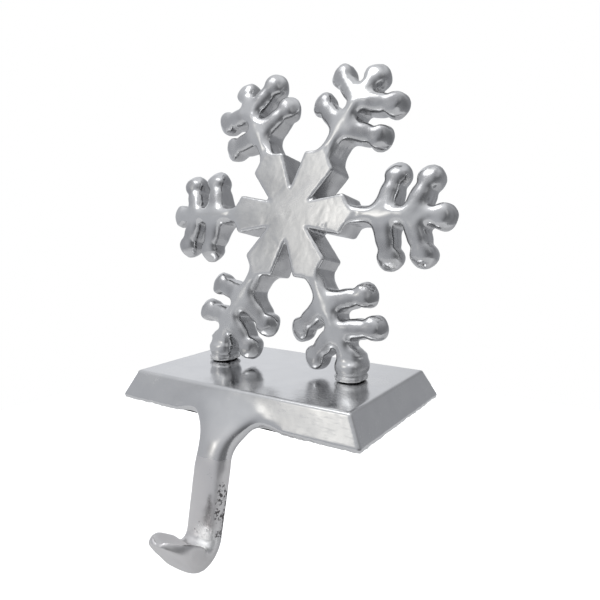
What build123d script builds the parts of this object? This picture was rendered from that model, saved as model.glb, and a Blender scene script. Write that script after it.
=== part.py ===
from build123d import *
import os
from math import cos, pi, radians, sin, sqrt, tan

# base block
base_width = 110.4
base_depth = 71.2
base_height = 11.8
band_height = 1.7
side_inset = 5.4
front_inset = 3.6
corner_radius = 1.1
top_edge_radius = 1.5
band_edge = 0.6
pad_thickness = 1.0
pad_margin = 4.0
pad_corner_radius = 5.0

# hook: its centre line leaves the front slope, hangs down and curls forward
root_inset = 6.7
root_height = 7.5
root_angle = 50.0
root_length = 16.0
root_bend_radius = 16.0
stem_lean = 12.6
stem_length = 26.4
bend_radius = 6.4
tip_rise = 41.0
tip_length = 16.2
stem_width = 14.0
tongue_gain = 3.0
tongue_spread = 8.0
flare_width = 27.0
flare_sweep = 2.8
flare_length = 33.0
root_thickness = 8.4
stem_thickness = 7.0
bend_thickness = 9.4
tip_thickness = 2.0
tongue_length = 11.0
tongue_end = 0.26
dish_depth = 3.8
dish_run = 9.0
rim_rise = 2.8
hook_seam_radius = 1.4

# snowflake
flake_lean = 10.5
flake_thickness = 15.0
arm_reach = 63.8
foot_height = 8.75
foot_line = 0.9
notch_radius = 11.25
petal_half_width = 8.1
petal_gap = 15.3
petal_corner_radius = 1.3
petal_edge = 0.6
shoulder_slope = 60.0
strip_half_width = 1.1
strip_margin = 0.5
strip_gap = 6.2
plateau_sweep = 6.5
stem_half_width = 3.4
stem_start = 14.0
stem_start_half_width = 4.0
stem_sweep = 4.5
neck_half_width = 3.05
branch_spacing = 11.7
inner_angle = 76.0
inner_length = 16.7
inner_bulb_radius = 4.85
outer_setback = 11.9
outer_angle = 69.0
outer_length = 15.3
outer_bulb_radius = 4.75
tip_bulb_radius = 4.9
fork_radius = 2.6
crotch_radius = 1.9
crown_setback = 13.8
crown_slope = 0.175
crown_reach = 15.5
bulb_slope = 0.6
foot_width = 11.0
foot_thickness = 12.6
foot_setback = 1.3
foot_edge_radius = 2.8

# screws
screw_diameter = 4.0
screw_length = 16.0
head_diameter = 7.8
head_height = 2.8
head_edge = 1.0
recess_width = 1.1
recess_span = 4.4
recess_depth = 1.6
bore_clearance = 0.2
bore_tip_gap = 1.0
passage_clearance = 0.6
seat_clearance = 1.0
seat_depth = 4.0

base_top = pad_thickness + base_height
outer_root = arm_reach - outer_setback
inner_root = outer_root - branch_spacing
strip_end = inner_root - strip_gap
petal_length = inner_root - petal_gap
foot_x = arm_reach * cos(radians(60))
bulb_drop = arm_reach * sin(radians(60))
screw_seat = pad_thickness + seat_depth
screw_spots = [Pos(side * foot_x, foot_line) for side in (-1, 1)]
foot_plane = Plane(
    origin=(0, foot_line, base_top),
    x_dir=(1, 0, 0),
    z_dir=(0, -cos(radians(flake_lean)), sin(radians(flake_lean))),
)
flake_plane = Plane(
    origin=foot_plane.from_local_coords((0, bulb_drop + foot_height, 0)),
    x_dir=foot_plane.x_dir,
    z_dir=foot_plane.z_dir,
)


def between(value, start, end, first, last):
    part = min(max((value - start) / (end - start), 0), 1)
    return first + (last - first) * part


def slab(width, depth, z):
    return Plane.XY.offset(z) * RectangleRounded(width, depth, corner_radius)


def baseBlock():
    band_top = pad_thickness + band_height
    top = slab(base_width - 2 * side_inset, base_depth - 2 * front_inset, base_top)
    block = extrude(slab(base_width, base_depth, pad_thickness), band_height)
    block += loft([slab(base_width, base_depth, band_top).face(), top.face()])
    block = fillet(block.edges().group_by(Axis.Z)[-1], top_edge_radius)
    rims = [e for e in block.edges() if e.bounding_box().max.Z < band_top + 0.02]
    rims = [e for e in rims if e.bounding_box().size.Z < 0.02]
    return fillet(rims, band_edge)


def heading(angle):
    return Vector(0, -cos(radians(angle)), -sin(radians(angle)))


def turn(point, first, last, radius):
    # an arc from one heading to another, turning forward when the heading rises
    reach = radius if last > first else -radius

    def arm(angle):
        return Vector(0, sin(radians(angle)), -cos(radians(angle))) * reach

    centre = point + arm(first)
    return ThreePointArc(point, centre - arm((first + last) / 2), centre - arm(last))


def hookSection(plane, width, thickness, dish):
    # flat-backed oval, its front face hollowed by the dish between two raised rims
    a = width / 2
    b = thickness / 2
    front = b - dish
    rim = 0.9 * b + rim_rise * dish
    sides = [
        Bezier((a, 0), (a, rim), (0.7 * a, front), (0, front)),
        Bezier((0, front), (-0.7 * a, front), (-a, rim), (-a, 0)),
        Bezier((-a, 0), (-a, -0.9 * b), (-0.7 * a, -b), (0, -b)),
        Bezier((0, -b), (0.7 * a, -b), (a, -0.9 * b), (a, 0)),
    ]
    return (plane * make_face(sides)).face()


def hookArm():
    start = Vector(0, root_inset - base_depth / 2, pad_thickness + root_height)
    down = 90 - stem_lean
    root = Line(start, start + root_length * heading(root_angle))
    neck = turn(root @ 1, root_angle, down, root_bend_radius)
    stem = Line(neck @ 1, neck @ 1 + stem_length * heading(down))
    bend = turn(stem @ 1, down, -tip_rise, bend_radius)
    tip = Line(bend @ 1, bend @ 1 + tip_length * heading(-tip_rise))
    path = Wire([part.edge() for part in (root, neck, stem, bend, tip)])
    neck_end = root.length + neck.length
    stem_end = neck_end + stem.length
    bend_end = stem_end + bend.length
    end = path.length
    spacing = end / 26
    marks = [i * spacing for i in range(23)]
    marks += [end - 3 * spacing * (1 - i / 8) ** 2 for i in range(9)]
    sections = []
    for mark in marks:
        spread = between(mark, stem_end, bend_end + tongue_spread, 0, pi)
        width = stem_width + tongue_gain * (1 - cos(spread)) / 2
        width += flare_width * ((1 + cos(pi * min(mark / flare_length, 1))) / 2) ** flare_sweep
        over = between(mark, end - tongue_length, end, 0, 1)
        width *= sqrt(1 - (1 - tongue_end**2) * over**2)
        thickness = between(mark, neck_end, stem_end, root_thickness, stem_thickness)
        thickness += between(mark, stem_end, bend_end, 0, bend_thickness - stem_thickness)
        thickness += between(mark, bend_end, end, 0, tip_thickness - bend_thickness)
        dish = between(mark, stem_end + bend.length / 2, bend_end + dish_run, 0, dish_depth)
        dish *= between(mark, bend_end, end, 1, 0.2)
        plane = Plane(
            origin=path.position_at(mark / end),
            x_dir=(1, 0, 0),
            z_dir=path.tangent_at(mark / end),
        )
        sections.append(hookSection(plane, width, thickness, dish))
    return loft(sections)


def baseAndHook():
    block = baseBlock()
    hook = hookArm()
    body = block + hook
    body = fillet(new_edges(block, hook, combined=body), hook_seam_radius)
    shelf = Box(base_width, base_depth, stem_length, align=(Align.CENTER, Align.MIN, Align.MAX))
    body -= Pos(0, band_edge - base_depth / 2, pad_thickness) * shelf
    passage = screw_diameter / 2 + passage_clearance / 2
    seat = head_diameter / 2 + seat_clearance / 2
    low = (Align.CENTER, Align.CENTER, Align.MIN)
    for spot in screw_spots:
        body -= spot * Cylinder(passage, base_top + 1, align=low)
        body -= spot * Cylinder(seat, screw_seat, align=low)
    return body


def petal():
    strip = strip_half_width + strip_margin
    run = (petal_half_width - strip) / tan(radians(shoulder_slope))
    rim = FilletPolyline(
        (0, 0),
        (notch_radius * cos(radians(30)), notch_radius * sin(radians(30))),
        (petal_length, petal_half_width),
        (petal_length + run, strip),
        (strip_end, strip),
        (strip_end, 0),
        radius=[0, 0, petal_corner_radius, plateau_sweep, 0, 0],
        close=True,
    )
    half = make_face(rim)
    return half + mirror(half, Plane.XZ)


def starPlate():
    star = Sketch() + [Rot(0, 0, 60 * i) * petal() for i in range(6)]
    plate = extrude(star, flake_thickness / 2, both=True)
    rim = plate.edges().group_by(Axis.Z)[0] + plate.edges().group_by(Axis.Z)[-1]
    return chamfer(rim, petal_edge)


def branchCorners(root, angle, length):
    # the four corners of a straight branch that leaves the stem at an angle
    across = cos(radians(angle))
    out = sin(radians(angle))
    corners = []
    for side in (-1, 1):
        foot_run = (stem_half_width + side * neck_half_width * across) / out
        for run in (foot_run, length):
            x = root + side * neck_half_width * out + run * across
            y = run * out - side * neck_half_width * across
            corners.append((x, y))
    return [corners[0], corners[1], corners[3], corners[2]]


def armOutline():
    run = (petal_half_width - stem_half_width) / tan(radians(shoulder_slope))
    points = [
        (stem_start, 0),
        (stem_start, stem_start_half_width),
        (petal_length - 0.8, petal_half_width - 0.9),
        (petal_length + run, stem_half_width),
    ]
    points += branchCorners(inner_root, inner_angle, inner_length)
    points += branchCorners(outer_root, outer_angle, outer_length)
    points += [(arm_reach, stem_half_width), (arm_reach, 0)]
    radii = [0, 0, 0, stem_sweep, stem_sweep, 0, 0, fork_radius, fork_radius, 0, 0, crotch_radius, 0, 0]
    half = make_face(FilletPolyline(*points, radius=radii, close=True))
    half += Pos(arm_reach, 0) * Circle(tip_bulb_radius)
    for root, angle, length, bulb in (
        (inner_root, inner_angle, inner_length, inner_bulb_radius),
        (outer_root, outer_angle, outer_length, outer_bulb_radius),
    ):
        half += Pos(root + length * cos(radians(angle)), length * sin(radians(angle))) * Circle(bulb)
    return half + mirror(half, Plane.XZ)


def crownRing(spread, height):
    length = arm_reach - crown_setback - stem_start + spread
    ring = Rectangle(length, 2 * (strip_half_width + spread), align=(Align.MIN, Align.CENTER))
    return (Plane.XY.offset(height) * Pos(stem_start, 0) * ring).face()


def flakeArm():
    # the ridge stays flat, the flanks fall gently to the branches and steeply over their ends
    level = flake_thickness / 2
    shoulder = level - crown_reach * crown_slope
    eaves = crown_reach + shoulder / bulb_slope
    rings = [crownRing(eaves, 0), crownRing(crown_reach, shoulder), crownRing(0, level)]
    half = extrude(armOutline(), level) & loft(rings, ruled=True)
    return half + mirror(half, Plane.XY)


def foot():
    # a square post under the lowest bulb, in the plane of the snowflake
    height = foot_height + foot_thickness
    post = Box(foot_width, height, foot_thickness, align=(Align.CENTER, Align.MAX, Align.CENTER))
    post = fillet(post.edges().filter_by(Axis.Y), foot_edge_radius)
    post = chamfer(post.faces().sort_by(Axis.Y)[-1].edges(), foot_edge_radius / 2)
    return Pos(0, -bulb_drop + foot_edge_radius, -foot_setback) * post


def snowflake():
    arm = flakeArm()
    body = starPlate().fuse(*[Rot(0, 0, 60 * i) * arm for i in range(6)])
    body = body.fuse(*[Pos(side * foot_x, 0) * foot() for side in (-1, 1)])
    body = flake_plane * body
    ground = Pos(0, 0, base_top) * Box(
        base_width, base_depth, base_height, align=(Align.CENTER, Align.CENTER, Align.MAX)
    )
    body -= ground
    bore_depth = screw_length - (base_top - screw_seat) + bore_tip_gap
    bore = Cylinder(screw_diameter / 2 + bore_clearance / 2, 2 * bore_depth)
    for spot in screw_spots:
        body -= spot * Pos(0, 0, base_top) * bore
    return body


def screw():
    low = (Align.CENTER, Align.CENTER, Align.MIN)
    high = (Align.CENTER, Align.CENTER, Align.MAX)
    shank = Cylinder(screw_diameter / 2, screw_length, align=low)
    shank = chamfer(shank.edges().sort_by(Axis.Z)[-1], screw_diameter / 8)
    head = Cylinder(head_diameter / 2, head_height, align=high)
    head = chamfer(head.edges().sort_by(Axis.Z)[0], head_edge)
    body = shank + head
    for angle in (0, 90):
        slot = Rot(0, 0, angle) * Box(recess_span, recess_width, 2 * recess_depth)
        body -= Pos(0, 0, -head_height) * slot
    return Pos(0, 0, screw_seat) * body


def pad():
    sheet = RectangleRounded(
        base_width - 2 * pad_margin, base_depth - 2 * pad_margin, pad_corner_radius
    )
    body = extrude(sheet, pad_thickness)
    seat = head_diameter / 2 + seat_clearance / 2
    for spot in screw_spots:
        body -= spot * Cylinder(seat, 4 * pad_thickness)
    return body


os.makedirs("parts", exist_ok=True)
export_step(baseAndHook(), "parts/base_and_hook.step")
export_step(snowflake(), "parts/snowflake.step")
export_step(Compound([spot * screw() for spot in screw_spots]), "parts/snowflake_screws.step")
export_step(pad(), "parts/non_slip_pad.step")
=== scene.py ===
import bpy
import bmesh
import math
import numpy as np
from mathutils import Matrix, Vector, noise
from mathutils.bvhtree import BVHTree


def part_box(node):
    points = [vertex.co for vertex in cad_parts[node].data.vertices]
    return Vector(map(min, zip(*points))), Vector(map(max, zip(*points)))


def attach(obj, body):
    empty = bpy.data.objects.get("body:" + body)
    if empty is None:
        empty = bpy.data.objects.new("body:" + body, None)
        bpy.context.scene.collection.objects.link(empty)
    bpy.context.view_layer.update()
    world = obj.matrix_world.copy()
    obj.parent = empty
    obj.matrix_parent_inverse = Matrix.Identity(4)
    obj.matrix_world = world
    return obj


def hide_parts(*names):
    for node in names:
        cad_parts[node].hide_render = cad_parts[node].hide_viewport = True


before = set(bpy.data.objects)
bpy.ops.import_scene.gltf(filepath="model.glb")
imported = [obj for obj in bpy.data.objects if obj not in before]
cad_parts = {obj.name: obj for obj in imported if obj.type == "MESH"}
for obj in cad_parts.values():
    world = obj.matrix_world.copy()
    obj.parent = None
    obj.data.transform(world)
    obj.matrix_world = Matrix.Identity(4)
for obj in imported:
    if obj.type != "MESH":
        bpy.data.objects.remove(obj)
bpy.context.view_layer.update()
print("frame loaded")


def mix(a, b, t):
    return a + (b - a) * t


def ramp(value, start, end):
    # 0 before start, 1 past end, smooth between
    t = np.clip((value - start) / (end - start), 0.0, 1.0)
    return t * t * (3 - 2 * t)


def hump(value, width):
    # 1 at 0, falling away on both sides
    return np.exp(-((value / width) ** 2))


def mergedCopy(node, name):
    # a node's loose triangles, joined into one closed skin
    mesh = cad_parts[node].data.copy()
    mesh.name = name
    bm = bmesh.new()
    bm.from_mesh(mesh)
    bmesh.ops.remove_doubles(bm, verts=bm.verts, dist=0.000002)
    bm.to_mesh(mesh)
    bm.free()
    mesh.materials.clear()
    return mesh


def skinTree(mesh, wanted=None):
    # a search tree in mm over the faces whose normals are wanted
    corners = [vertex.co * 1000 for vertex in mesh.vertices]
    chosen = [face for face in mesh.polygons if wanted is None or wanted(face.normal)]
    faces = [tuple(face.vertices) for face in chosen]
    return BVHTree.FromPolygons(corners, faces)


def bakeModifiers(obj):
    # works the object's modifiers into its mesh
    depsgraph = bpy.context.evaluated_depsgraph_get()
    finished = bpy.data.meshes.new_from_object(obj.evaluated_get(depsgraph))
    finished.name = obj.name
    obj.modifiers.clear()
    obj.data = finished


def recast(node, name, voxel):
    # an even skin over the node's solid, fine enough to be shaped
    obj = bpy.data.objects.new(name, mergedCopy(node, name))
    bpy.context.scene.collection.objects.link(obj)
    remesh = obj.modifiers.new("evenSkin", "REMESH")
    remesh.mode = "VOXEL"
    remesh.voxel_size = voxel
    remesh.use_smooth_shade = True
    bakeModifiers(obj)
    return obj


def getPoints(obj):
    # in mm, one row a point
    points = np.empty(len(obj.data.vertices) * 3)
    obj.data.vertices.foreach_get("co", points)
    return points.reshape(-1, 3) * 1000


def setPoints(obj, points):
    obj.data.vertices.foreach_set("co", (points / 1000).ravel())
    obj.data.update()


def getNormals(obj):
    normals = np.empty(len(obj.data.vertices) * 3)
    obj.data.vertex_normals.foreach_get("vector", normals)
    return normals.reshape(-1, 3)


def settle(obj, tree, keep):
    # draws the skin back on to the solid's true faces, by keep
    points = getPoints(obj)
    for i in np.nonzero(keep > 0.001)[0]:
        spot = tree.find_nearest(Vector(points[i]))[0]
        points[i] = mix(points[i], np.array(spot), keep[i])
    setPoints(obj, points)


def roundRims(points, radius, walls, front, back, height):
    # lays the points beside a rim on the quarter round between wall and face
    for i in np.nonzero(radius > 0.1)[0]:
        reach = radius[i]
        spot = Vector(points[i])
        wall = walls.find_nearest(spot, reach)
        face = (front if height[i] > 0 else back).find_nearest(spot, reach)
        if wall[0] is None or face[0] is None:
            continue
        if (spot - wall[0]).dot(wall[1]) > 0.15 or (spot - face[0]).dot(face[1]) > 0.15:
            continue
        aside, below = reach - wall[3], reach - face[3]
        excess = 1 - reach / math.hypot(aside, below)
        if excess > 0:
            points[i] -= excess * (aside * np.array(wall[1]) + below * np.array(face[1]))


def keepInside(points, node):
    # the hand-made unevenness never reaches past the casting's own box
    low, high = (np.array(corner) * 1000 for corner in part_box(node))
    return np.clip(points, low + 0.01, high - 0.01)


def relax(obj, amount, rounds):
    # evens out the skin where amount is above 0
    group = obj.vertex_groups.new(name="relax")
    level = np.round(amount * 10).astype(int)
    for step in range(1, 11):
        members = np.nonzero(level == step)[0].tolist()
        if members:
            group.add(members, step / 10, "REPLACE")
    smooth = obj.modifiers.new("relax", "SMOOTH")
    smooth.factor = 0.5
    smooth.iterations = rounds
    smooth.vertex_group = group.name
    bakeModifiers(obj)
    obj.vertex_groups.clear()


def bumpy(points, scale, octaves=1, seed=0.0):
    # noise from about -1 to 1 at each point, scale in mm
    shift = Vector((seed, -seed, 2 * seed))
    values = np.empty(len(points))
    for i, point in enumerate(points):
        spot = Vector(point) / scale + shift
        if octaves > 1:
            values[i] = noise.fractal(spot, 1.0, 2.0, octaves)
        else:
            values[i] = noise.noise(spot)
    return values


def paint(obj, name, values):
    # a mask that the materials read by its name
    attribute = obj.data.attributes.new(name, "FLOAT", "POINT")
    attribute.data.foreach_set("value", np.clip(values, 0, 1).astype(np.float32))


def newGroup(name, inputs, outputs):
    group = bpy.data.node_groups.new(name, "ShaderNodeTree")
    for label, kind, value in inputs:
        socket = group.interface.new_socket(name=label, in_out="INPUT", socket_type=kind)
        if value is not None:
            socket.default_value = value
    for label, kind in outputs:
        group.interface.new_socket(name=label, in_out="OUTPUT", socket_type=kind)
    source = group.nodes.new("NodeGroupInput")
    sink = group.nodes.new("NodeGroupOutput")
    return group, source, sink


def addNode(tree, kind, settings=None, values=None):
    node = tree.nodes.new(kind)
    for key, value in (settings or {}).items():
        setattr(node, key, value)
    for key, value in (values or {}).items():
        node.inputs[key].default_value = value
    return node


def addMath(tree, operation, first, second):
    node = addNode(tree, "ShaderNodeMath", {"operation": operation})
    for slot, item in enumerate((first, second)):
        if isinstance(item, (int, float)):
            node.inputs[slot].default_value = item
        else:
            tree.links.new(item, node.inputs[slot])
    return node.outputs[0]


def addRamp(tree, factor, low, high):
    node = addNode(tree, "ShaderNodeMapRange", {"interpolation_type": "SMOOTHSTEP"})
    node.inputs["From Min"].default_value = low
    node.inputs["From Max"].default_value = high
    tree.links.new(factor, node.inputs["Value"])
    return node.outputs["Result"]


def addNoise(tree, vector, scale, detail, roughness=0.5, distortion=0.0):
    values = {"Scale": scale, "Detail": detail, "Roughness": roughness, "Distortion": distortion}
    node = addNode(tree, "ShaderNodeTexNoise", None, values)
    tree.links.new(vector, node.inputs["Vector"])
    return node.outputs["Fac"]


def addColorMix(tree, factor, first, second):
    # first and second are colours, or outputs that carry one
    node = addNode(tree, "ShaderNodeMix", {"data_type": "RGBA"})
    for label, item in (("A", first), ("B", second)):
        if isinstance(item, tuple):
            node.inputs[label].default_value = (*item, 1)
        else:
            tree.links.new(item, node.inputs[label])
    tree.links.new(factor, node.inputs["Factor"])
    return node.outputs["Result"]


def addMask(tree, name):
    return addNode(tree, "ShaderNodeAttribute", {"attribute_name": name}).outputs["Fac"]


def objectPlace(tree):
    return addNode(tree, "ShaderNodeTexCoord").outputs["Object"]


def newMaterial(name):
    material = bpy.data.materials.new(name)
    material.use_nodes = True
    return material, material.node_tree, material.node_tree.nodes["Principled BSDF"]


# pattern scales are in cycles a metre
polishMarksSetup = {
    "cloudScale": 42.0,
    "patchScale": 120.0,
    "fineScale": 350.0,
    "strokeStretch": (260.0, 2600.0, 900.0),
    "strokeTurn": (0.3, 0.5, 0.35),
    "strokeRoughness": 0.25,
    "patchHeight": 0.3,
    "fineHeight": 0.07,
    "strokeHeight": 0.06,
}


def makePolishMarks(setup):
    # broad unevenness and fine strokes of a hand-held polishing wheel
    group, source, sink = newGroup(
        "polishMarks",
        [
            ("Vector", "NodeSocketVector", None),
            ("Haze", "NodeSocketFloat", 0.1),
            ("Strokes", "NodeSocketFloat", 0.3),
        ],
        [
            ("Roughness", "NodeSocketFloat"),
            ("Tone", "NodeSocketFloat"),
            ("Height", "NodeSocketFloat"),
        ],
    )
    vector = source.outputs["Vector"]
    cloud = addNoise(group, vector, setup["cloudScale"], 3.0, 0.55, 0.6)
    patch = addNoise(group, vector, setup["patchScale"], 2.0, 0.5, 0.3)
    fine = addNoise(group, vector, setup["fineScale"], 2.0, 0.5, 0.4)
    mapping = {"Scale": setup["strokeStretch"], "Rotation": setup["strokeTurn"]}
    stretch = addNode(group, "ShaderNodeMapping", None, mapping)
    group.links.new(vector, stretch.inputs["Vector"])
    stroke = addNoise(group, stretch.outputs["Vector"], 1.0, 3.0, 0.6)
    haze = addMath(group, "MULTIPLY", addRamp(group, cloud, 0.38, 0.72), source.outputs["Haze"])
    lines = addMath(group, "MULTIPLY", addRamp(group, stroke, 0.5, 0.8), source.outputs["Strokes"])
    rough = addMath(group, "ADD", haze, addMath(group, "MULTIPLY", lines, setup["strokeRoughness"]))
    broadTone = addMath(group, "MULTIPLY", cloud, 0.6)
    tone = addMath(group, "ADD", broadTone, addMath(group, "MULTIPLY", patch, 0.4))
    height = cloud
    for part, share in ((patch, "patchHeight"), (fine, "fineHeight"), (lines, "strokeHeight")):
        height = addMath(group, "ADD", height, addMath(group, "MULTIPLY", part, setup[share]))
    group.links.new(rough, sink.inputs["Roughness"])
    group.links.new(tone, sink.inputs["Tone"])
    group.links.new(height, sink.inputs["Height"])
    return group


rawCastingSetup = {
    "grainScale": 1500.0,
    "blotchScale": 950.0,
    "scatterScale": 230.0,
    "scatterShare": 0.5,
    "pitShare": 0.22,
    "pitEdge": (0.98, 1.08),
    "grainHeight": 0.2,
}


def makeRawCasting(setup):
    # grain, pores and dark pits of metal left as it came from the mould
    group, source, sink = newGroup(
        "rawCasting",
        [
            ("Vector", "NodeSocketVector", None),
            ("Raw", "NodeSocketFloat", 0.0),
            ("Pits", "NodeSocketFloat", 0.0),
        ],
        [
            ("Grain", "NodeSocketFloat"),
            ("Pit", "NodeSocketFloat"),
            ("Height", "NodeSocketFloat"),
        ],
    )
    vector = source.outputs["Vector"]
    pits = source.outputs["Pits"]
    grain = addNoise(group, vector, setup["grainScale"], 4.0, 0.65)
    blotch = addNoise(group, vector, setup["blotchScale"], 2.0, 0.5, 0.3)
    scatter = addNoise(group, vector, setup["scatterScale"], 2.0, 0.5)
    scattered = addMath(group, "MULTIPLY", scatter, setup["scatterShare"])
    depth = addMath(group, "ADD", blotch, scattered)
    depth = addMath(group, "ADD", depth, addMath(group, "MULTIPLY", pits, setup["pitShare"]))
    holes = addRamp(group, depth, *setup["pitEdge"])
    pit = addMath(group, "MULTIPLY", holes, addRamp(group, pits, 0.05, 0.5))
    rawGrain = addMath(group, "MULTIPLY", grain, source.outputs["Raw"])
    raised = addMath(group, "MULTIPLY", rawGrain, setup["grainHeight"])
    height = addMath(group, "SUBTRACT", raised, pit)
    group.links.new(grain, sink.inputs["Grain"])
    group.links.new(pit, sink.inputs["Pit"])
    group.links.new(height, sink.inputs["Height"])
    return group


polishMarks = makePolishMarks(polishMarksSetup)
rawCasting = makeRawCasting(rawCastingSetup)

# shared by both castings
castFinish = {
    "rawAndShadeTint": 0.8,
    "stainAndShadeGrain": 1.5,
    "frostEdge": (0.92, 1.02),
    "rawGrainRoughness": 0.35,
    "pitRoughness": 0.4,
    "frostRoughness": 0.22,
    "waveHeight": 0.0006,
    "grainHeight": 0.00035,
    "grainStrength": 0.7,
}


def makeCastMetal(name, look, finish):
    material, tree, shader = newMaterial(name)
    shader.inputs["Metallic"].default_value = 1.0
    where = objectPlace(tree)
    marks = addNode(tree, "ShaderNodeGroup", {"node_tree": polishMarks})
    marks.inputs["Haze"].default_value = look["haze"]
    marks.inputs["Strokes"].default_value = look["strokes"]
    tree.links.new(where, marks.inputs["Vector"])
    cast = addNode(tree, "ShaderNodeGroup", {"node_tree": rawCasting})
    tree.links.new(where, cast.inputs["Vector"])
    # the raw-skin mask also carries painted shade on the snowflake's walls and branch middles
    rawShadeMask = addMask(tree, "rawSkinAndShade")
    tree.links.new(rawShadeMask, cast.inputs["Raw"])
    tree.links.new(addMask(tree, "pitted"), cast.inputs["Pits"])
    grain = cast.outputs["Grain"]
    # bright metal, greyer where raw and where shade is painted, dark in the pits, stains and
    # painted shade, pale where frosted
    color = addColorMix(tree, marks.outputs["Tone"], look["dullColor"], look["brightColor"])
    tinted = addMath(tree, "MULTIPLY", rawShadeMask, finish["rawAndShadeTint"])
    color = addColorMix(tree, tinted, color, look["rawAndShadeColor"])
    speckle = addMath(tree, "MULTIPLY", grain, finish["stainAndShadeGrain"])
    speckledStainAndShade = addMath(tree, "MULTIPLY", addMask(tree, "stainsAndShade"), speckle)
    dark = addMath(tree, "MAXIMUM", cast.outputs["Pit"], speckledStainAndShade)
    color = addColorMix(tree, dark, color, look["pitStainAndShadeColor"])
    frosted = addMath(tree, "ADD", addMask(tree, "frosted"), grain)
    frost = addRamp(tree, frosted, *finish["frostEdge"])
    color = addColorMix(tree, frost, color, look["frostColor"])
    tree.links.new(color, shader.inputs["Base Color"])
    # smooth where polished, rougher where raw, pitted or frosted
    polished = addMath(tree, "ADD", marks.outputs["Roughness"], look["roughness"])
    rawGrain = addMath(tree, "MULTIPLY", grain, finish["rawGrainRoughness"])
    rawRough = addMath(tree, "ADD", rawGrain, look["rawRoughness"])
    blend = addNode(tree, "ShaderNodeMix", {"data_type": "FLOAT"})
    tree.links.new(rawShadeMask, blend.inputs["Factor"])
    tree.links.new(polished, blend.inputs["A"])
    tree.links.new(rawRough, blend.inputs["B"])
    rough = blend.outputs["Result"]
    for mask, share in ((cast.outputs["Pit"], "pitRoughness"), (frost, "frostRoughness")):
        rough = addMath(tree, "ADD", rough, addMath(tree, "MULTIPLY", mask, finish[share]))
    tree.links.new(rough, shader.inputs["Roughness"])
    # relief: the polish's waves under the casting's grain
    relief = {"Strength": look["waves"], "Distance": finish["waveHeight"]}
    waves = addNode(tree, "ShaderNodeBump", None, relief)
    tree.links.new(marks.outputs["Height"], waves.inputs["Height"])
    relief = {"Strength": finish["grainStrength"], "Distance": finish["grainHeight"]}
    grains = addNode(tree, "ShaderNodeBump", None, relief)
    tree.links.new(cast.outputs["Height"], grains.inputs["Height"])
    tree.links.new(waves.outputs["Normal"], grains.inputs["Normal"])
    tree.links.new(grains.outputs["Normal"], shader.inputs["Normal"])
    return material


flakeLook = {
    "brightColor": (0.88, 0.88, 0.87),
    "dullColor": (0.66, 0.665, 0.68),
    # grey of the raw spots, also the colour of the painted shade on the walls and branch middles
    "rawAndShadeColor": (0.38, 0.38, 0.39),
    # dark of the pits and stains, also the painted shade in the feet's gap
    "pitStainAndShadeColor": (0.20, 0.19, 0.19),
    "frostColor": (0.95, 0.95, 0.94),
    "roughness": 0.16,
    "rawRoughness": 0.08,
    "haze": 0.14,
    "strokes": 0.25,
    "waves": 0.45,
}
# in mm, apart from voxel, in metres, and lean
flakeShape = {
    "voxel": 0.00066,
    "lean": math.radians(10.5),
    "centre": (0.0, 12.56, 75.73),
    "petalEnd": 27.0,
    "rimRadius": 2.8,
    "bulbRadius": 3.4,
    "bulbs": [(63.8, 0.0), (44.24, 16.2), (57.38, 14.28)],  # along and beside an arm
    "neckSwell": 1.0,
    "partingLine": 0.22,
    "roughHeight": 0.55,
    "footSide": 31.9,
    "baseTop": 12.8,
    "footRounds": 200,
    "footOval": 1.05,
    "heelBulge": 1.1,
    # the joint at the feet: heights over the base, and how far each stands out or in
    "collarAbove": 1.3,
    "collarHeight": 0.9,
    "grooveAbove": 2.9,
    "grooveDepth": 0.6,
    "gapDepth": 0.15,
    # places left rough by the mould: where, and how wide
    "roughSpots": [
        ((31.2, 8.9, 83.6), 3.5),
        ((49.3, 13.0, 88.9), 2.6),
        ((58.8, 10.8, 93.7), 3.0),
        ((58.1, 6.0, 56.8), 2.6),
        ((46.4, 6.0, 57.0), 2.4),
        ((-2.3, 12.4, 102.4), 3.0),
        ((17.8, 5.4, 70.2), 2.6),
        ((31.8, 20.2, 122.7), 3.6),
        ((-24.1, 3.9, 39.8), 3.0),
        ((36.3, 4.1, 52.1), 3.4),
    ],
}


def flakeAxes(shape):
    # up and out of the leaning snowflake
    lean = shape["lean"]
    up = np.array((0, math.sin(lean), math.cos(lean)))
    out = np.array((0, -math.cos(lean), math.sin(lean)))
    return up, out


def armCoordinates(across, up):
    # along the nearest arm, and how far to its side
    angle = np.arctan2(up, across)
    angle -= np.round(angle / math.radians(60)) * math.radians(60)
    reach = np.hypot(across, up)
    return reach * np.cos(angle), np.abs(reach * np.sin(angle))


def flakePlaces(points, shape):
    # how far each point belongs to the arms, bulbs and feet, and its distances in mm
    upAxis, outAxis = flakeAxes(shape)
    offset = points - np.array(shape["centre"])
    across, up = offset[:, 0], offset @ upAxis
    along, side = armCoordinates(across, up)
    nearBulb = np.zeros(len(points))
    for bulbAlong, bulbSide in shape["bulbs"]:
        distance = np.hypot(along - bulbAlong, side - bulbSide)
        nearBulb = np.maximum(nearBulb, ramp(-distance, -7.0, -3.5))
    above = points[:, 2] - shape["baseTop"]
    fromFoot = np.abs(np.abs(across) - shape["footSide"])
    return {
        "height": offset @ outAxis,
        "side": side,
        "above": above,
        "fromMiddle": across**2 + up**2,
        "onArms": ramp(along, shape["petalEnd"] - 1, shape["petalEnd"] + 5),
        "nearBulb": nearBulb,
        "onFoot": ramp(-above, -11.0, -7.0) * ramp(-fromFoot, -9.0, -7.0),
    }


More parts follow.
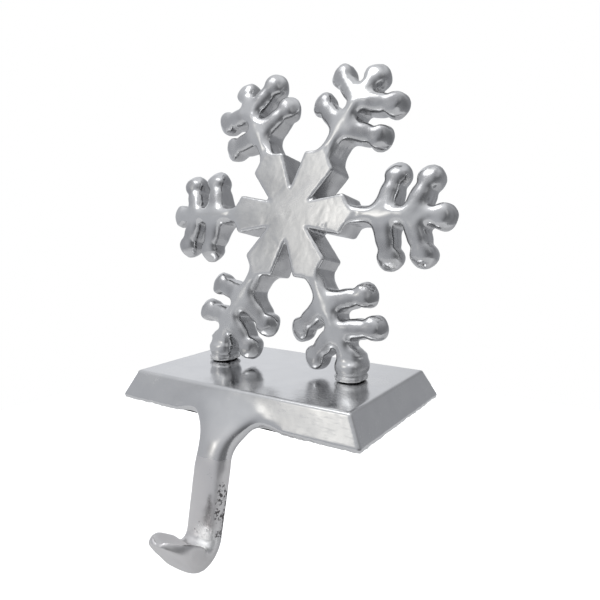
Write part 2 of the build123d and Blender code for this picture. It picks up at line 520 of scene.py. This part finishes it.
def roundFeet(points, place, shape):
    # the feet stand on ovals, not on square ends
    onFoot, above = place["onFoot"], place["above"]
    for left in (True, False):
        here = (points[:, 0] < 0) == left
        ring = points[here & (onFoot > 0.5) & (above < 1.5), :2]
        low, high = ring.min(axis=0), ring.max(axis=0)
        centre, half = (low + high) / 2, (high - low) / 2
        offset = (points[:, :2] - centre) / half
        reach = np.maximum(np.hypot(offset[:, 0], offset[:, 1]), 1.0)
        amount = here * onFoot * ramp(-above, -6.5, -3.0)
        pull = mix(1.0, np.minimum(1.0, shape["footOval"] / reach), amount)
        points[:, :2] = centre + offset * half * pull[:, None]
    return points


def roundSnowflake(flake, solid, place, shape):
    # rounds the arms and feet, whose rims are sharp in the solid
    outAxis = flakeAxes(shape)[1]
    out = Vector(outAxis)
    onArms, onFoot, nearBulb = place["onArms"], place["onFoot"], place["nearBulb"]
    walls = skinTree(solid, lambda normal: abs(normal.dot(out)) < 0.2)
    front = skinTree(solid, lambda normal: normal.dot(out) > 0.8)
    back = skinTree(solid, lambda normal: normal.dot(out) < -0.8)
    points = getPoints(flake)
    radius = onArms * (1 - onFoot) * mix(shape["rimRadius"], shape["bulbRadius"], nearBulb)
    roundRims(points, radius, walls, front, back, place["height"])
    setPoints(flake, roundFeet(points, place, shape))
    relax(flake, onArms, 4)
    # the branches are as stout as fingers
    normals = getNormals(flake)
    inPlane = normals - np.outer(normals @ outAxis, outAxis)
    swell = shape["neckSwell"] * onArms * (1 - nearBulb) * (1 - onFoot)
    swell *= ramp(place["side"], 2.5, 6.0)
    setPoints(flake, getPoints(flake) + inPlane * swell[:, None])
    relax(flake, 0.1 + 0.9 * onArms, 14)
    relax(flake, onFoot * ramp(place["above"], 0.8, 3.0), shape["footRounds"])


def buildSnowflake(look, shape):
    flake = recast("snowflake", "castSnowflake", shape["voxel"])
    solid = mergedCopy("snowflake", "flakeSolid")
    settle(flake, skinTree(solid), np.ones(len(flake.data.vertices)))
    place = flakePlaces(getPoints(flake), shape)
    roundSnowflake(flake, solid, place, shape)
    onArms, onFoot, above = place["onArms"], place["onFoot"], place["above"]
    points = getPoints(flake)
    normals = getNormals(flake)
    # the feet bulge like heels above the joint
    heel = onFoot * ramp(above, 0.5, 4.0) * ramp(-above, -10.0, -6.0)
    heel *= shape["heelBulge"] * ramp(normals[:, 2] + 0.9, 0.0, 0.4)
    points = points + normals * heel[:, None]
    facing = np.abs(normals @ flakeAxes(shape)[1])
    # hand-made unevenness, more of it on the arms
    heights = mix(0.03, 0.14, onArms) * bumpy(points, 8.0)
    heights += 0.10 * onArms * bumpy(points, 3.4, seed=3.1)
    heights += 0.25 * onFoot * bumpy(points, 4.5, seed=6.6)
    rough = np.zeros(len(points))
    for spot, width in shape["roughSpots"]:
        distance = np.linalg.norm(points - np.array(spot), axis=1)
        rough = np.maximum(rough, hump(distance, width))
    heights += shape["roughHeight"] * rough * bumpy(points, 1.9, 2, seed=4.9)
    # the parting line left on the arms' walls
    broken = ramp(bumpy(points, 7.0, seed=8.4), -0.2, 0.25)
    heights += shape["partingLine"] * onArms * broken * (1 - facing) * hump(place["height"], 0.5)
    # a shallow sink mark in the middle of the star
    middle = (place["height"] > 0) * np.exp(-place["fromMiddle"] / 5.0)
    mottle = bumpy(points, 0.8, seed=2.6)
    heights += 0.05 * middle * mottle
    # the feet: a groove over a ragged collar, and a thin gap at the joint
    level = onFoot * (1 - np.abs(normals[:, 2]))
    ragged = 0.7 + 0.6 * bumpy(points, 1.6, seed=1.7)
    collar = level * hump(above - shape["collarAbove"], 0.8)
    heights += shape["collarHeight"] * collar * ragged + 0.4 * collar * bumpy(points, 1.3, seed=2.9)
    heights -= shape["grooveDepth"] * level * hump(above - shape["grooveAbove"], 1.0)
    heights -= shape["gapDepth"] * level * hump(above, 0.35)
    setPoints(flake, keepInside(points + normals * heights[:, None], "snowflake"))
    # painted shade: the walls are painted darker than the hand-polished faces, and left rougher
    wallShade = ramp(1 - facing, 0.45, 0.9) * (0.75 + 0.35 * bumpy(points, 5.0, seed=5.5))
    # painted shade: the branches' outward-facing middles are painted greyer than their rims
    crestShade = onArms * ramp(place["side"], 2.5, 6.0) * ramp(facing, 0.55, 0.95)
    crestShade *= 0.55 + 0.5 * bumpy(points, 6.0, seed=7.2)
    # the raw-skin mask: raw skin at the rough spots, painted shade on the walls and the branches'
    # middles
    rawSpotsAndShade = np.maximum(np.maximum(0.4 * rough, crestShade), wallShade * mix(1.0, 0.85, onArms))
    paint(flake, "rawSkinAndShade", rawSpotsAndShade)
    paint(flake, "frosted", np.maximum(0.75 * rough, 1.1 * collar * ragged))
    paint(flake, "pitted", 0.7 * rough)
    # painted shade: the gap at the joint is painted dark, darkest where it faces right
    gapShade = onFoot * ramp(normals[:, 0], -0.3, 0.7) * hump(above, 0.4)
    # the stain mask carries the gap's painted shade and the star's real sink-mark mottling
    paint(flake, "stainsAndShade", gapShade + 0.35 * middle * ramp(mottle, 0.0, 0.4))
    flake.data.materials.append(makeCastMetal("polishedSnowflakeCasting", look, castFinish))
    print("snowflake:", len(flake.data.vertices), "points")
    return flake


snowflake = buildSnowflake(flakeLook, flakeShape)
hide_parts("snowflake")
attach(snowflake, "root")


baseLook = {
    "brightColor": (0.85, 0.85, 0.845),
    "dullColor": (0.64, 0.645, 0.66),
    "rawAndShadeColor": (0.88, 0.85, 0.84),
    "pitStainAndShadeColor": (0.24, 0.23, 0.23),
    "frostColor": (0.96, 0.96, 0.95),
    "roughness": 0.10,
    "rawRoughness": 0.30,
    "haze": 0.14,
    "strokes": 0.45,
    "waves": 0.3,
}
# in mm, apart from voxel, in metres
baseShape = {
    "voxel": 0.00056,
    "bottom": 1.0,
    "seamRounds": 220,
    "rimHeight": 0.30,
    "polishLine": -9.0,  # the hook is polished down to here
    "bendTop": -36.0,
    "pitsFrom": 5.2,  # the pitted edge lies right of here
    "streakSide": 3.6,
    "patchHeight": 0.22,
    "patchWidth": 4.0,
}


def blendSeam(base, shape):
    # settles the skin, apart from the seam of hook and front face, which is blended
    solid = mergedCopy("base_and_hook", "baseSolid")
    x, y, z = getPoints(base).T
    nearSeam = ramp(-y, 30.0, 32.0) * ramp(26.0 - np.abs(x), 0.0, 9.0)
    nearSeam *= ramp(z, -14.0, -5.0) * ramp(-z, -11.9, -10.4)
    onHook = ramp(-y, 36.5, 38.5) * ramp(-z, -1.0, 4.0)
    settle(base, skinTree(solid), 1 - np.maximum(nearSeam, onHook))
    relax(base, nearSeam, shape["seamRounds"])
    relax(base, 0.6 * onHook, 10)


def buildBase(look, shape):
    base = recast("base_and_hook", "castBaseAndHook", shape["voxel"])
    blendSeam(base, shape)
    points = getPoints(base)
    normals = getNormals(base)
    x, y, z = points.T
    wander = bumpy(points, 6.0, seed=7.7)
    ragged = bumpy(points, 2.2, 2, seed=3.3)
    # hand-made unevenness, more of it on the hook's stem
    heights = 0.05 * bumpy(points, 14.0) + 0.02 * bumpy(points, 6.0, seed=5.2)
    unevenStem = 0.06 * bumpy(points, 5.0, seed=2.2) + 0.03 * bumpy(points, 1.8, seed=6.1)
    heights += ramp(-z, 9.0, 12.0) * unevenStem
    # the lower rim of the block is ragged
    besideHook = ramp(-y, 29.0, 32.0) * ramp(25.0 - np.abs(x), 0.0, 5.0)
    rim = ramp(shape["bottom"] - z, -1.6, -0.3) * (z > shape["bottom"] - 0.5) * (1 - besideHook)
    heights += rim * (shape["rimHeight"] * bumpy(points, 2.6, 2, seed=9.3) - 0.15)
    # rough bright metal just above the bend, drifting right on its way down
    patch = ramp(-z, 29.0, 35.0) * ramp(z, -39.5, -37.5)
    patch *= ramp(-y, 45.0, 47.0) * ramp(y, -57.0, -55.0)
    patch *= hump(x - 1.6 + 0.6 * (z + 32.0), shape["patchWidth"])
    heights += shape["patchHeight"] * patch * bumpy(points, 0.9, seed=4.4)
    setPoints(base, keepInside(points + normals * heights[:, None], "base_and_hook"))
    # the stem below the polished root keeps its raw skin, the tongue is half polished
    line = shape["polishLine"] + 0.25 * wander
    stemOnly = ramp(line - z, -0.3, 0.5) * ramp(y, -56.0, -53.5)
    stemOnly *= ramp(z, shape["bendTop"] - 2, shape["bendTop"] + 1)
    neck = ramp(-y, 37.0, 40.0) * ramp(3.0 - z, 0.0, 4.0)
    tongue = ramp(-y, 49.0, 52.0) * ramp(-z, 18.0, 24.0)
    rawSkinAndShade = np.maximum(stemOnly * (0.6 + 0.15 * wander), np.maximum(0.2 * neck, 0.55 * tongue))
    paint(base, "rawSkinAndShade", rawSkinAndShade * (1 - patch))
    # pits down the stem's right edge and round the bright patch
    edge = ramp(x + 0.4 * wander, shape["pitsFrom"], shape["pitsFrom"] + 1) * ramp(-x, -9.0, -7.5)
    edge *= ramp(-z + 2 * wander, 13.0, 20.0)
    fringe = 4 * patch * (1 - patch) * ramp(-y, 45.0, 47.0)
    paint(base, "pitted", stemOnly * np.maximum(edge, 0.55 * fringe))
    # a dark streak on the stem's front, widening on its way down
    front = ramp(-normals[:, 1], -0.2, 0.4)
    streakWidth = mix(0.7, 2.2, ramp(-z, 20.0, 31.0))
    streak = hump(x - shape["streakSide"] + 0.5 * ragged, streakWidth)
    streak *= ramp(-z + 1.5 * ragged, 19.0, 23.0) * ramp(z + ragged, -33.0, -31.5)
    paint(base, "stainsAndShade", stemOnly * front * streak * (1 - patch))
    frosted = 0.9 * patch * ramp(-normals[:, 1] + normals[:, 2], -0.2, 0.4)
    paint(base, "frosted", np.maximum(frosted, 0.5 * rim))
    base.data.materials.append(makeCastMetal("polishedBaseCasting", look, castFinish))
    print("base and hook:", len(base.data.vertices), "points")
    return base


base = buildBase(baseLook, baseShape)
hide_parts("base_and_hook")
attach(base, "root")


screwLook = {
    "darkColor": (0.42, 0.43, 0.45),
    "brightColor": (0.62, 0.62, 0.60),
    "cloudScale": 900.0,
    "roughness": 0.22,
    "cloudRoughness": 0.25,
}


def makeScrewSteel(look):
    material, tree, shader = newMaterial("zincPlatedScrew")
    shader.inputs["Metallic"].default_value = 1.0
    cloud = addNoise(tree, objectPlace(tree), look["cloudScale"], 3.0)
    color = addColorMix(tree, cloud, look["darkColor"], look["brightColor"])
    tree.links.new(color, shader.inputs["Base Color"])
    clouded = addMath(tree, "MULTIPLY", cloud, look["cloudRoughness"])
    rough = addMath(tree, "ADD", clouded, look["roughness"])
    tree.links.new(rough, shader.inputs["Roughness"])
    return material


padLook = {
    "darkColor": (0.012, 0.012, 0.013),
    "paleColor": (0.045, 0.045, 0.047),
    "cloudScale": 300.0,
    "cellScale": 1800.0,
    "cellHeight": 0.0003,
    "roughness": 0.85,
}


def makePadRubber(look):
    material, tree, shader = newMaterial("foamRubberPad")
    where = objectPlace(tree)
    cloud = addNoise(tree, where, look["cloudScale"], 4.0)
    color = addColorMix(tree, cloud, look["darkColor"], look["paleColor"])
    tree.links.new(color, shader.inputs["Base Color"])
    shader.inputs["Roughness"].default_value = look["roughness"]
    # the open cells of the foam
    cells = addNode(tree, "ShaderNodeTexVoronoi", {"feature": "F1"}, {"Scale": look["cellScale"]})
    tree.links.new(where, cells.inputs["Vector"])
    relief = {"Strength": 0.6, "Distance": look["cellHeight"]}
    bump = addNode(tree, "ShaderNodeBump", None, relief)
    tree.links.new(cells.outputs["Distance"], bump.inputs["Height"])
    tree.links.new(bump.outputs["Normal"], shader.inputs["Normal"])
    return material


def dress(node, material):
    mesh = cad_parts[node].data
    mesh.materials.clear()
    mesh.materials.append(material)


dress("snowflake_screws", makeScrewSteel(screwLook))
dress("non_slip_pad", makePadRubber(padLook))
print("screws and pad dressed")


studio = {
    "floorHeight": -0.075,
    "floorSize": 0.6,
    "floorColor": (0.78, 0.78, 0.78),
    "floorGlow": 0.10,
    "floorSeen": 1.0,
    "ambient": (0.49, 0.50, 0.525),
    "lobes": [
        # direction, sharpness, strength, colour
        ((-0.45, -0.80, 0.40), 150.0, 0.80, (1.0, 0.965, 0.88)),
        ((-0.485, -0.84, 0.235), 220.0, 0.82, (1.0, 0.965, 0.88)),
        ((-0.47, 0.83, 0.28), 6.0, 0.38, (0.97, 0.98, 1.0)),
        ((0.75, -0.50, 0.42), 40.0, 0.45, (1.0, 1.0, 1.0)),
        ((0.0, -0.2, 1.0), 3.0, 0.40, (1.0, 1.0, 1.0)),
    ],
    # direction, sharpness, depth
    "shades": [
        ((0.65, 0.75, 0.10), 1.0, 0.24),
        ((0.95, -0.30, 0.0), 2.0, 0.62),
        ((-0.565, -0.765, 0.300), 160.0, 0.36),
        ((0.50, -0.85, 0.05), 9.0, 0.55),
        ((0.10, 0.90, 0.42), 12.0, 0.35),
    ],
    # name, place, target, size, power, colour
    "lamps": [
        ("topLamp", (-0.15, -0.25, 0.60), (0, 0, 0.05), (0.30, 0.30), 0.45, (1, 1, 1)),
        ("frontLamp", (-0.40, -0.78, 0.36), (0, 0, 0.06), (0.10, 0.14), 0.022, (1.0, 0.97, 0.92)),
    ],
}
cameraSetup = {
    "place": (0.13335, -0.19163, 0.07543),
    "azimuth": math.radians(32.84),
    "elevation": math.radians(8.12),
    "lens": 34.58,
}


def makeFloor(setup):
    bm = bmesh.new()
    bmesh.ops.create_grid(bm, x_segments=8, y_segments=8, size=setup["floorSize"] / 2)
    bmesh.ops.translate(bm, verts=bm.verts, vec=(0, 0, setup["floorHeight"]))
    mesh = bpy.data.meshes.new("paleFloor")
    bm.to_mesh(mesh)
    bm.free()
    floor = bpy.data.objects.new("paleFloor", mesh)
    bpy.context.scene.collection.objects.link(floor)
    material, tree, shader = newMaterial("paleFloor")
    shader.inputs["Base Color"].default_value = (*setup["floorColor"], 1)
    shader.inputs["Roughness"].default_value = 0.9
    shader.inputs["Emission Color"].default_value = (1, 1, 1, 1)
    # white to the camera, softer in the metal's reflections
    ray = addNode(tree, "ShaderNodeLightPath")
    glow = addNode(tree, "ShaderNodeMapRange")
    glow.inputs["To Min"].default_value = setup["floorGlow"]
    glow.inputs["To Max"].default_value = setup["floorSeen"]
    tree.links.new(ray.outputs["Is Camera Ray"], glow.inputs["Value"])
    tree.links.new(glow.outputs["Result"], shader.inputs["Emission Strength"])
    mesh.materials.append(material)


def makeWorld(setup):
    # a soft studio: pale all round, brighter where the lamps stand, dim to the right
    world = bpy.data.worlds.new("softStudio")
    world.use_nodes = True
    tree = world.node_tree
    tree.nodes.clear()
    where = addNode(tree, "ShaderNodeTexCoord").outputs["Generated"]
    direction = addNode(tree, "ShaderNodeVectorMath", {"operation": "NORMALIZE"})
    tree.links.new(where, direction.inputs[0])

    def facing(axis, sharpness):
        dot = addNode(tree, "ShaderNodeVectorMath", {"operation": "DOT_PRODUCT"})
        dot.inputs[1].default_value = Vector(axis).normalized()
        tree.links.new(direction.outputs["Vector"], dot.inputs[0])
        ahead = addMath(tree, "MAXIMUM", dot.outputs["Value"], 0.0)
        return addMath(tree, "POWER", ahead, sharpness)

    total = None
    for axis, sharpness, strength, color in setup["lobes"]:
        tint = addNode(tree, "ShaderNodeVectorMath", {"operation": "SCALE"})
        tint.inputs[0].default_value = color
        lit = addMath(tree, "MULTIPLY", facing(axis, sharpness), strength)
        tree.links.new(lit, tint.inputs["Scale"])
        added = addNode(tree, "ShaderNodeVectorMath", {"operation": "ADD"})
        if total:
            tree.links.new(total, added.inputs[0])
        else:
            added.inputs[0].default_value = setup["ambient"]
        tree.links.new(tint.outputs["Vector"], added.inputs[1])
        total = added.outputs["Vector"]
    for axis, sharpness, depth in setup["shades"]:
        dimmed = addMath(tree, "MULTIPLY", facing(axis, sharpness), depth)
        keep = addMath(tree, "SUBTRACT", 1.0, dimmed)
        shaded = addNode(tree, "ShaderNodeVectorMath", {"operation": "SCALE"})
        tree.links.new(total, shaded.inputs[0])
        tree.links.new(keep, shaded.inputs["Scale"])
        total = shaded.outputs["Vector"]
    glow = addNode(tree, "ShaderNodeBackground")
    tree.links.new(total, glow.inputs["Color"])
    plain = addNode(tree, "ShaderNodeBackground", None, {"Color": (1, 1, 1, 1), "Strength": 1.0})
    ray = addNode(tree, "ShaderNodeLightPath")
    choose = addNode(tree, "ShaderNodeMixShader")
    tree.links.new(ray.outputs["Is Camera Ray"], choose.inputs["Fac"])
    tree.links.new(glow.outputs["Background"], choose.inputs[1])
    tree.links.new(plain.outputs["Background"], choose.inputs[2])
    output = addNode(tree, "ShaderNodeOutputWorld")
    tree.links.new(choose.outputs["Shader"], output.inputs["Surface"])
    bpy.context.scene.world = world


def addLamp(name, place, target, size, power, color):
    light = bpy.data.lights.new(name, "AREA")
    light.shape = "RECTANGLE"
    light.size, light.size_y = size
    light.energy = power
    light.color = color
    lamp = bpy.data.objects.new(name, light)
    bpy.context.scene.collection.objects.link(lamp)
    lamp.location = place
    lamp.rotation_mode = "QUATERNION"
    lamp.rotation_quaternion = (Vector(target) - Vector(place)).to_track_quat("-Z", "Y")


def makeCamera(setup):
    data = bpy.data.cameras.new("photoCamera")
    data.lens = setup["lens"]
    data.sensor_width = 36.0
    data.clip_start = 0.01
    data.clip_end = 20.0
    camera = bpy.data.objects.new("photoCamera", data)
    bpy.context.scene.collection.objects.link(camera)
    turn, tilt = setup["azimuth"], setup["elevation"]
    level = math.cos(tilt)
    forward = Vector((-math.sin(turn) * level, math.cos(turn) * level, -math.sin(tilt)))
    camera.location = setup["place"]
    camera.rotation_mode = "QUATERNION"
    camera.rotation_quaternion = forward.to_track_quat("-Z", "Y")
    bpy.context.scene.camera = camera


makeFloor(studio)
makeWorld(studio)
for lamp in studio["lamps"]:
    addLamp(*lamp)
makeCamera(cameraSetup)
bpy.context.scene.view_settings.view_transform = "Standard"
print("studio ready")
